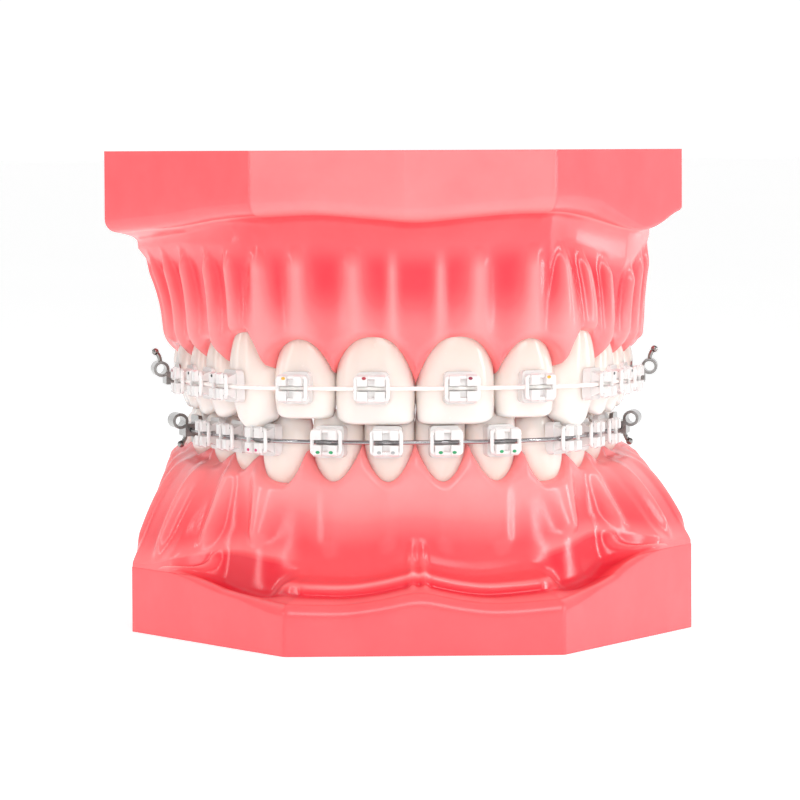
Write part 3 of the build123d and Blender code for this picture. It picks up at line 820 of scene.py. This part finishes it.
    def cove_span(self):
        """Where the vestibule starts, how far it goes in and how far it rises."""
        start = self.room - self.rounding
        return start, np.maximum(start - self.foot_out, LEAST_GAP), self.foot - self.rim

    def cove_curve(self, controls):
        """Points of a smooth curve from the rim in to the wall's foot, which is left to the wall."""
        weights = curve_weights(len(controls), COVE_STEPS)
        for k in range(COVE_STEPS - 1):
            out, height = (sum(w * control[i] for w, control in zip(weights[k], controls)) for i in (0, 1))
            yield k / (COVE_STEPS - 1), out, height

    def upper_cove(self):
        """A plain hollow, its painted shade deepening inwards from a lighter rim."""
        start, gap, rise = self.cove_span()
        controls = []
        for inward, high, share in UPPER_COVE:
            controls.append((start - inward * gap, self.rim + high + share * rise))
        controls.append((self.foot_out, self.foot))
        for t, out, height in self.cove_curve(controls):
            yield out, height, UPPER_RIM_PAINTED_LIGHT + (self.cove_painted_shade - UPPER_RIM_PAINTED_LIGHT) * smooth(t, *COVE_START)

    def lower_cove(self):
        """A ledge with a crease in front, a groove at the sides, and folds of the lip and the cheek, with
        painted highlights on the folds.
        """
        start, gap, rise = self.cove_span()
        ledge = np.clip(gap / LEDGE_ROOM, LEAST_LEDGE, 1.0)
        controls = []
        for front, groove, even in zip(LOWER_LEDGE, LOWER_GROOVE, np.linspace(0, 1, len(LOWER_LEDGE))):
            inward = front[0] + (groove[0] - front[0]) * self.side
            high = front[1] + front[2] * ledge + front[3] * rise
            high = high + (groove[1] + groove[2] * rise - high) * self.side
            inward = inward + (even - inward) * self.merge
            high = high + (even * rise - high) * self.merge
            controls.append((start - gap * inward, self.rim + high))
        for t, out, height in self.cove_curve(controls):
            place = CHEEK_FOLD + CHEEK_SWEEP * (1 - t) ** CHEEK_CURVE
            cheek = bell(self.away, place, CHEEK_WIDTH) * smooth(t, *CHEEK_START)
            lip = self.folds * smooth(t, *LIP_FOLD_START)
            out = out + CHEEK_OUT * cheek + LIP_FOLD_OUT * lip
            height = height + CHEEK_UP * cheek + LIP_FOLD_UP * lip
            tone = self.lower_cove_painted_shade(t) - CHEEK_FOLD_PAINTED_HIGHLIGHT * cheek - LIP_FOLD_PAINTED_HIGHLIGHT * lip
            yield out, height, np.clip(tone, 0, 1)

    def lower_cove_painted_shade(self, t):
        """Painted shade of the lower vestibule at a share of the way in, without its folds: darker in the
        crease and the groove, with a painted highlight on the ledge's roll.
        """
        roll = bell(t, *ROLL) * (1 - smooth(self.away, *ROLL_HIGHLIGHT_STRETCH))
        front = LEDGE_PAINTED_LIGHT + LEDGE_PAINTED_SHADE * smooth(t, *LEDGE_START) + CREASE_PAINTED_SHADE * bell(t, *CREASE)
        front = front - ROLL_PAINTED_HIGHLIGHT * roll
        groove = GROOVE_PAINTED_SHADE + GROOVE_DEEPER_PAINTED_SHADE * smooth(t, *GROOVE_START)
        tone = front + (groove - front) * self.side
        return tone + (MERGED_TONE - tone) * self.merge

    def wall_rows(self):
        """The wall from its foot to the scalloped margin."""
        for t in np.linspace(0, 1, WALL_STEPS):
            height = self.foot + (self.top - self.foot) * t
            share = np.clip((height - self.foot) / (self.level - self.foot), 0, 1.4)
            lean = (self.foot_out - self.face - WALL) * np.clip(1 - share, 0, 1) ** self.bow
            window = smooth(share, *RIDGE_START) * (1 - RIDGE_FADED * smooth(share, *RIDGE_FADE))
            ridge, near = self.ridges(share)
            hollow = HOLLOW * (1 - near) * (1 - EVEN_FRONT * self.front)
            fold = LIP_FOLD_WALL * self.folds * (1 - smooth(t, *LIP_FOLD_END))
            wall = self.face + WALL + lean + (ridge - hollow) * window * (1 - self.behind) + fold
            roll = (self.top - height) / (MARGIN_ROLL + PAPILLA_ROLL * np.abs(self.across) ** 3)
            roll = np.clip(roll, 0, 1)
            wall = self.lip + (wall - self.lip) * np.sqrt(np.clip(1 - (1 - roll) ** 2, 0, 1))
            yield wall, height, self.wall_painted_shade(share, near)

    def wall_painted_shade(self, share, near):
        """Painted shade of the wall, darker in its hollows and at its foot, lighter on its ridges and towards
        the margin.
        """
        flute = self.form["flute_painted_shade"] * (1 - near) * (1 - self.behind) * (1 - self.front)
        flute = (WALL_PAINTED_SHADE + flute) * (1 - FLUTE_FADED * smooth(share, *FLUTE_FADE))
        foot = self.form["foot_painted_shade"] * (1 - SIDE_FOOT_PAINTED_LIGHT * self.side)
        foot = foot * (1 - RIDGE_FOOT_PAINTED_LIGHT * near * (1 - self.front))
        tone = RIDGE_PAINTED_LIGHT + flute * smooth(share, *FLUTE_START) + foot * (1 - smooth(share, *FOOT_FADE))
        return np.clip(self.cove_painted_shade + (tone - self.cove_painted_shade) * smooth(share, *RIDGE_START), 0, 1)

    def crest_rows(self):
        """The ridge between the outer and the inner margin."""
        inner = self.tongue * INNER_SHARE
        crest = np.maximum(self.top, self.inner_top) + CREST_RISE
        peak = 2 * crest - (self.top + self.inner_top) / 2
        for t in np.linspace(0, 1, CREST_STEPS)[1:-1]:
            height = (1 - t) ** 2 * self.top + 2 * t * (1 - t) * peak + t * t * self.inner_top
            yield self.lip + (-inner - self.lip) * t, height, np.full_like(self.away, CREST_TONE)

    def tongue_side(self):
        """Rows of plan points and heights from the inner margin to the middle."""
        jaw = self.jaw
        start = self.points - self.outward * (self.tongue * INNER_SHARE)[:, None]
        first = jaw.front + MIDDLE_START
        spine = self.points[:, 1] + (self.tongue + MIDDLE_CLEAR) * np.clip(-self.outward[:, 1], 0, 1)
        spine = first + np.logaddexp(0, (spine - first) / MIDDLE_BEND) * MIDDLE_BEND
        spine = np.minimum(spine, HALF_DEPTH)
        middle = np.stack([np.full_like(spine, TOOTH_MIDLINE), spine], -1)
        reach = np.linalg.norm(middle - start, axis=1)
        for t in np.linspace(0, 1, TONGUE_STEPS) ** TONGUE_CROWDING:
            if jaw.flipped:
                fall = 1 - (1 - np.clip(t / PALATE_REACH, 0, 1)) ** PALATE_CURVE
            else:
                left_over = 1 - (t * reach - FLOOR_START) / FLOOR_REACH
                fall = 1 - np.logaddexp(0, FLOOR_BEND * left_over) / FLOOR_BEND
            height = self.inner_top + (self.form["roof"] - self.inner_top) * np.clip(fall, 0, 1)
            yield start + (middle - start) * t, height


def build_gum(jaw, material):
    gum = Gum(jaw)
    rows = []
    tones = []
    for offset, height, tone in gum.profile():
        rows.append(jaw.world(gum.points + gum.outward * offset[:, None], height))
        tones.append(tone)
    for plan, height in gum.tongue_side():
        rows.append(jaw.world(plan, height))
        tones.append(np.full(COLUMNS, TONGUE_TONE))
    count = len(rows)
    faces = grid_faces(count, COLUMNS)
    faces.append(tuple(range(COLUMNS)))
    back = [r * COLUMNS for r in range(count)] + [(r + 1) * COLUMNS - 1 for r in reversed(range(count))]
    faces.append(tuple(back))
    points = np.concatenate(rows)
    piece = mesh_object(f"{jaw.name}_gum", points, faces, material, np.concatenate(tones), SHARP_EDGE)
    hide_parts(f"{jaw.name}_gum_base")


# Materials

# Colours by tone: a gum's from painted light on its ridges to painted shade in its grooves, a tooth's from
# neck to biting edge
GUM_LIT_AND_SHADED_COLOURS = (
    (0.0, (.96, .30, .30)), (.3, (.95, .165, .175)), (.6, (.92, .08, .095)), (1.0, (.78, .02, .04)))
TOOTH_COLOURS = (
    (0.0, (.72, .58, .51)), (.3, (.77, .67, .61)), (.75, (.82, .75, .70)), (1.0, (.82, .77, .73)))
FLOOR_COLOURS = ((.3, (.93, .93, .93)), (.7, (.95, .95, .95)))


def new_material(name):
    material = bpy.data.materials.new(name)
    material.use_nodes = True
    return material, material.node_tree, material.node_tree.nodes["Principled BSDF"]


def set_values(node, values):
    for name, value in values.items():
        node.inputs[name].default_value = value


def noise(tree, scale, detail=3.0):
    coordinates = tree.nodes.new("ShaderNodeTexCoord")
    texture = tree.nodes.new("ShaderNodeTexNoise")
    set_values(texture, {"Scale": scale, "Detail": detail})
    tree.links.new(coordinates.outputs["Object"], texture.inputs["Vector"])
    return texture.outputs["Fac"]


def ramp(tree, source, stops):
    """Colours by a value."""
    node = tree.nodes.new("ShaderNodeValToRGB")
    elements = node.color_ramp.elements
    while len(elements) < len(stops):
        elements.new(0.5)
    for element, (place, colour) in zip(elements, stops):
        element.position = place
        element.color = (*colour, 1.0)
    tree.links.new(source, node.inputs["Fac"])
    return node.outputs["Color"]


def spread(tree, source, low, high):
    """A value from 0 to 1 spread over a range."""
    node = tree.nodes.new("ShaderNodeMapRange")
    set_values(node, {"To Min": low, "To Max": high})
    tree.links.new(source, node.inputs["Value"])
    return node.outputs["Result"]


def bump(tree, shader, source, strength, distance):
    node = tree.nodes.new("ShaderNodeBump")
    set_values(node, {"Strength": strength, "Distance": distance})
    tree.links.new(source, node.inputs["Height"])
    tree.links.new(node.outputs["Normal"], shader.inputs["Normal"])


def point_tone(tree):
    attribute = tree.nodes.new("ShaderNodeAttribute")
    attribute.attribute_name = "tone"
    return attribute.outputs["Fac"]


def varied(tree, source, scale, amount):
    """A value with a little noise added."""
    node = tree.nodes.new("ShaderNodeMath")
    node.operation = "ADD"
    tree.links.new(source, node.inputs[0])
    tree.links.new(spread(tree, noise(tree, scale), -amount, amount), node.inputs[1])
    return node.outputs["Value"]


def set_gloss(tree, shader, scale, low, high):
    """Roughness that varies in patches."""
    tree.links.new(spread(tree, noise(tree, scale), low, high), shader.inputs["Roughness"])


def set_shades(tree, shader, scale, colour, dark):
    """A colour with darker patches."""
    shades = ((.35, tuple(dark * c for c in colour)), (.65, colour))
    tree.links.new(ramp(tree, noise(tree, scale), shades), shader.inputs["Base Color"])


def resin_material(name, colours, patches, gloss, grain, values):
    """Resin coloured by its tone, which on the gum is painted light and shade; patches, gloss and grain give
    a noise's scale and its effect.
    """
    material, tree, shader = new_material(name)
    tone = varied(tree, point_tone(tree), *patches)
    tree.links.new(ramp(tree, tone, colours), shader.inputs["Base Color"])
    set_gloss(tree, shader, *gloss)
    set_values(shader, values)
    scale, strength, distance = grain
    bump(tree, shader, noise(tree, scale, detail=2.0), strength, distance)
    return material


def clear_material(name, tint, roughness, ior):
    material, tree, shader = new_material(name)
    set_gloss(tree, shader, scale=2500.0, low=roughness * .7, high=roughness * 1.3)
    set_values(shader, {"Base Color": (*tint, 1), "Transmission Weight": .3, "IOR": ior})
    return material


def wire_material(name, colour, metal, roughness):
    material, tree, shader = new_material(name)
    set_shades(tree, shader, 1500.0, colour, dark=.88)
    set_gloss(tree, shader, scale=4000.0, low=roughness * .8, high=roughness * 1.25)
    set_values(shader, {"Metallic": metal})
    return material


def dress(node, material):
    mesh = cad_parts[node].data
    mesh.materials.clear()
    mesh.materials.append(material)


# Colour marks on the brackets' wings

WIRE_HEIGHT = {"upper": 28.4, "lower": 22.5}
WING_FRONT = 5.66
MARK_HALF_WIDTH = .24
MARK_HALF_HEIGHT = .17
MARK_RINGS = ((1.0, 0.0), (.85, .035), (.5, .06))
MARK_AROUND = 20
MARK_COLOURS = {
    "red": (.42, .03, .05), "black": (.02, .02, .025), "yellow": (.80, .45, .06), "wine": (.28, .02, .05),
    "pink": (.62, .03, .16), "green": (.03, .36, .14), "grey": (.40, .42, .42)}
# Side, tooth's place from the midline, colour, distance from the bracket's middle and towards the gum
UPPER_MARKS = (
    (-1, 0, "red", .75, 1.15), (1, 0, "wine", .75, 1.1), (-1, 1, "yellow", .7, 1.1),
    (1, 1, "yellow", .7, 1.1), (-1, 2, "black", .7, 1.1), (1, 2, "black", .7, 1.1),
    (-1, 3, "black", .7, 1.1), (-1, 4, "wine", .7, 1.1), (1, 3, "black", .7, 1.1))
# Each lower bracket with marks has a pair
LOWER_MARKS = ((-1, 0, "grey"), (-1, 1, "green"), (-1, 2, "pink"), (1, 0, "green"), (1, 1, "green"))
PAIR_APART = .75
PAIR_TOWARDS_GUM = 1.05


def mark_material(name):
    material, tree, shader = new_material("mark_" + name)
    set_shades(tree, shader, 3000.0, MARK_COLOURS[name], dark=.8)
    set_values(shader, {"Roughness": .35})
    return material


def build_mark(jaw, side, index, across, towards_gum, material):
    """A small low drop of paint on a wing's front."""
    point, outward = jaw.tooth_middle(index, side)
    tangent = np.array([-outward[1], outward[0]]) * side
    angle = np.linspace(0, 2 * math.pi, MARK_AROUND, endpoint=False)
    middle = WIRE_HEIGHT[jaw.name] + (towards_gum if jaw.flipped else -towards_gum)
    rings = []
    for radius, lift in MARK_RINGS:
        x = across + MARK_HALF_WIDTH * radius * np.cos(angle)
        z = middle + MARK_HALF_HEIGHT * radius * np.sin(angle)
        plan = point + tangent * x[:, None] + outward * (WING_FRONT + lift)
        rings.append(np.concatenate([plan, z[:, None]], 1) * MM)
    points = np.concatenate(rings)
    faces = stack_faces(len(rings), MARK_AROUND)
    place = "near" if across < 0 else "far"
    name = f"mark_{jaw.name}_{side_word(side)}_{jaw.teeth[index].name}_{place}"
    mesh_object(name, points, faces, material, np.ones(len(points)))


# The model

GUM_RESIN = resin_material(
    "gum_resin", GUM_LIT_AND_SHADED_COLOURS, patches=(150.0, .08), gloss=(900.0, .17, .27), grain=(500.0, .06, .0002),
    values={"Subsurface Weight": .2, "Subsurface Radius": (1.0, .25, .2), "Subsurface Scale": .0015,
            "IOR": 1.5})
TOOTH_RESIN = resin_material(
    "tooth_resin", TOOTH_COLOURS, patches=(300.0, .05), gloss=(700.0, .2, .3), grain=(1600.0, .05, .0001),
    values={"Subsurface Weight": .5, "Subsurface Radius": (1.0, .8, .65), "Subsurface Scale": .002,
            "IOR": 1.5, "Coat Weight": .3, "Coat Roughness": .1})
CERAMIC = clear_material("clear_ceramic", (.95, .94, .93), roughness=.2, ior=1.35)
ELASTIC = clear_material("clear_elastic", (1.0, .99, .98), roughness=.25, ior=1.35)
COATED = wire_material("coated_wire", (.95, .93, .89), metal=0.0, roughness=.3)
STEEL_WIRE = wire_material("steel_wire", (.42, .42, .43), metal=1.0, roughness=.22)
STEEL = wire_material("tube_steel", (.34, .33, .32), metal=1.0, roughness=.2)

for jaw in (UPPER, LOWER):
    build_gum(jaw, GUM_RESIN)
    for index in range(len(jaw.teeth)):
        for side in (-1, 1):
            build_tooth(jaw, index, side, TOOTH_RESIN)
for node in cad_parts:
    if node.startswith("bracket"):
        dress(node, CERAMIC)
    elif node.startswith("molar_tube"):
        dress(node, STEEL)
    elif node.endswith("ligatures"):
        dress(node, ELASTIC)
dress("upper_archwire", COATED)
dress("lower_archwire", STEEL_WIRE)
PAINTS = {name: mark_material(name) for name in MARK_COLOURS}
for side, index, colour, across, towards_gum in UPPER_MARKS:
    build_mark(UPPER, side, index, across, towards_gum, PAINTS[colour])
for side, index, colour in LOWER_MARKS:
    for across in (-PAIR_APART, PAIR_APART):
        build_mark(LOWER, side, index, across, PAIR_TOWARDS_GUM, PAINTS[colour])


# Floor, light and camera, in metres

FLOOR_SIZE = 60.0
MIDDLE = (0, 0, .027)
SKY_FRONT = .36
SKY_BACK = 1.05
SKY_CHANGE = (.4, .8)

# The lens and the horizon's height in pixels of the picture, and the camera's turn and distance
FOCAL_PIXELS = 5160.0
PICTURE = 800.0
HORIZON = 250.0
SENSOR = 36.0
YAW = math.radians(2.2)
PITCH = math.atan(HORIZON / FOCAL_PIXELS)
ROLL_ANGLE = math.radians(-0.25)
DISTANCE = .5775


def add_floor():
    bpy.ops.mesh.primitive_plane_add(size=FLOOR_SIZE, location=(0, 0, 0))
    plane = bpy.context.object
    plane.name = "floor"
    material, tree, shader = new_material("pale_floor")
    tree.links.new(ramp(tree, noise(tree, scale=4.0), FLOOR_COLOURS), shader.inputs["Base Color"])
    set_values(shader, {"Roughness": .7, "Emission Color": (1, 1, 1, 1), "Emission Strength": .5})
    plane.data.materials.append(material)


def add_sky():
    """White surroundings, brighter behind the model than before it."""
    world = bpy.data.worlds.new("studio")
    world.use_nodes = True
    sky = world.node_tree
    direction = sky.nodes.new("ShaderNodeTexCoord")
    axes = sky.nodes.new("ShaderNodeSeparateXYZ")
    shade = sky.nodes.new("ShaderNodeMapRange")
    shade.interpolation_type = "SMOOTHSTEP"
    set_values(shade, {"From Min": SKY_CHANGE[0], "From Max": SKY_CHANGE[1]})
    set_values(shade, {"To Min": SKY_FRONT, "To Max": SKY_BACK})
    background = sky.nodes["Background"]
    sky.links.new(direction.outputs["Generated"], axes.inputs["Vector"])
    sky.links.new(axes.outputs["Y"], shade.inputs["Value"])
    sky.links.new(shade.outputs["Result"], background.inputs["Strength"])
    set_values(background, {"Color": (1, 1, 1, 1)})
    bpy.context.scene.world = world


def area_light(name, place, size, power, glossy=True):
    """A soft panel that faces the model."""
    data = bpy.data.lights.new(name, "AREA")
    data.shape = "RECTANGLE"
    data.size, data.size_y = size
    data.energy = power
    lamp = bpy.data.objects.new(name, data)
    lamp.location = place
    lamp.rotation_euler = (Vector(MIDDLE) - Vector(place)).to_track_quat("-Z", "Y").to_euler()
    lamp.visible_glossy = glossy
    bpy.context.collection.objects.link(lamp)


def add_camera():
    """A level, long-lens view from the front."""
    data = bpy.data.cameras.new("camera")
    data.sensor_width = SENSOR
    data.lens = FOCAL_PIXELS * SENSOR / PICTURE
    data.clip_start = .01
    camera = bpy.data.objects.new("camera", data)
    camera.location = (-math.sin(YAW) * DISTANCE, -math.cos(YAW) * DISTANCE, MODEL_HEIGHT * MM)
    yaw = Matrix.Rotation(-YAW, 3, "Z")
    pitch = Matrix.Rotation(math.pi / 2 - PITCH, 3, "X")
    roll = Matrix.Rotation(ROLL_ANGLE, 3, "Z")
    camera.rotation_euler = (yaw @ pitch @ roll).to_euler()
    bpy.context.collection.objects.link(camera)
    bpy.context.scene.camera = camera


add_floor()
add_sky()
bpy.context.scene.view_settings.view_transform = "Standard"
area_light("key", (.12, -.62, .45), size=(.45, .30), power=1.7)
area_light("front", (0, -.62, .12), size=(.25, .10), power=1.2, glossy=False)
area_light("left_strip", (-.42, -.16, .16), size=(.018, .30), power=.26)
area_light("right_strip", (.42, -.16, .16), size=(.018, .30), power=.5)
area_light("left_edge", (-.45, .09, .12), size=(.018, .25), power=.22)
area_light("right_edge", (.45, .09, .12), size=(.03, .25), power=.4)
add_camera()
